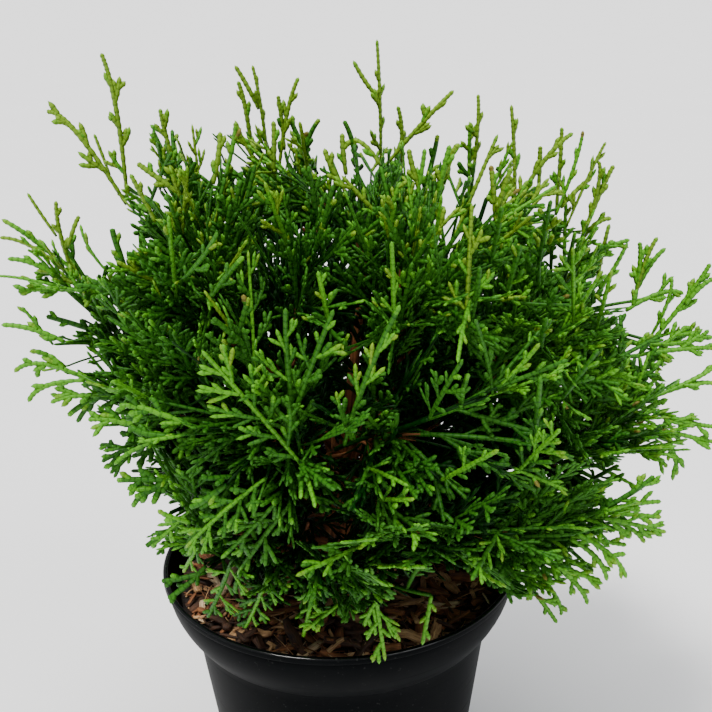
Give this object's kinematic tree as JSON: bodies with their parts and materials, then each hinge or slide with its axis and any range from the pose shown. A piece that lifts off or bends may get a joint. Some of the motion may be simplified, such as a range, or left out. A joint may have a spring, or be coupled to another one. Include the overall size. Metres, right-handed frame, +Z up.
{
  "type": "potted thuja",
  "caption": "Young globe thuja with a dense crown of flat scale-leaved sprays on a short leaning trunk, in a round black nursery pot with a flared collar, topped with bark mulch.",
  "frame": {"origin": "centre of the pot's flat underside", "axes": "+Z up along the pot's axis, -Y towards the viewer, +X to the viewer's right"},
  "size_m": [0.3154, 0.2825, 0.3669],
  "materials": {
    "pot_plastic": "black moulded plastic, slightly glossy, lightly scuffed",
    "soil_earth": "dark moist potting soil, crumbly",
    "bark_mulch": "shredded orange-brown bark chips, matte",
    "thuja_bark": "reddish-brown bark, fibrous, matte",
    "thuja_foliage": "fresh to deep green scale leaves, softly waxy"
  },
  "bodies": {
    "root": {"pot": "pot_plastic", "soil": "soil_earth", "mulch": "bark_mulch", "trunk": "thuja_bark", "bough_high_1": "thuja_bark", "bough_high_2": "thuja_bark", "bough_high_3": "thuja_bark", "bough_high_4": "thuja_bark", "bough_high_5": "thuja_bark", "bough_low_1": "thuja_bark", "bough_low_2": "thuja_bark", "bough_low_3": "thuja_bark", "bough_low_4": "thuja_bark", "bough_low_5": "thuja_bark", "bough_low_6": "thuja_bark", "bough_low_7": "thuja_bark", "bough_mid_1": "thuja_bark", "bough_mid_2": "thuja_bark", "bough_mid_3": "thuja_bark", "bough_mid_4": "thuja_bark", "bough_mid_5": "thuja_bark", "bough_skirt_1": "thuja_bark", "bough_skirt_2": "thuja_bark", "bough_skirt_3": "thuja_bark", "bough_skirt_4": "thuja_bark", "bough_skirt_5": "thuja_bark", "bough_skirt_6": "thuja_bark", "bough_skirt_7": "thuja_bark", "foliage_high_1": "thuja_foliage", "foliage_high_2": "thuja_foliage", "foliage_high_3": "thuja_foliage", "foliage_high_4": "thuja_foliage", "foliage_high_5": "thuja_foliage", "foliage_leader": "thuja_foliage", "foliage_low_1": "thuja_foliage", "foliage_low_2": "thuja_foliage", "foliage_low_3": "thuja_foliage", "foliage_low_4": "thuja_foliage", "foliage_low_5": "thuja_foliage", "foliage_low_6": "thuja_foliage", "foliage_low_7": "thuja_foliage", "foliage_mid_1": "thuja_foliage", "foliage_mid_2": "thuja_foliage", "foliage_mid_3": "thuja_foliage", "foliage_mid_4": "thuja_foliage", "foliage_mid_5": "thuja_foliage", "foliage_skirt_1": "thuja_foliage", "foliage_skirt_2": "thuja_foliage", "foliage_skirt_3": "thuja_foliage", "foliage_skirt_4": "thuja_foliage", "foliage_skirt_5": "thuja_foliage", "foliage_skirt_6": "thuja_foliage", "foliage_skirt_7": "thuja_foliage"}
  },
  "joints": []
}
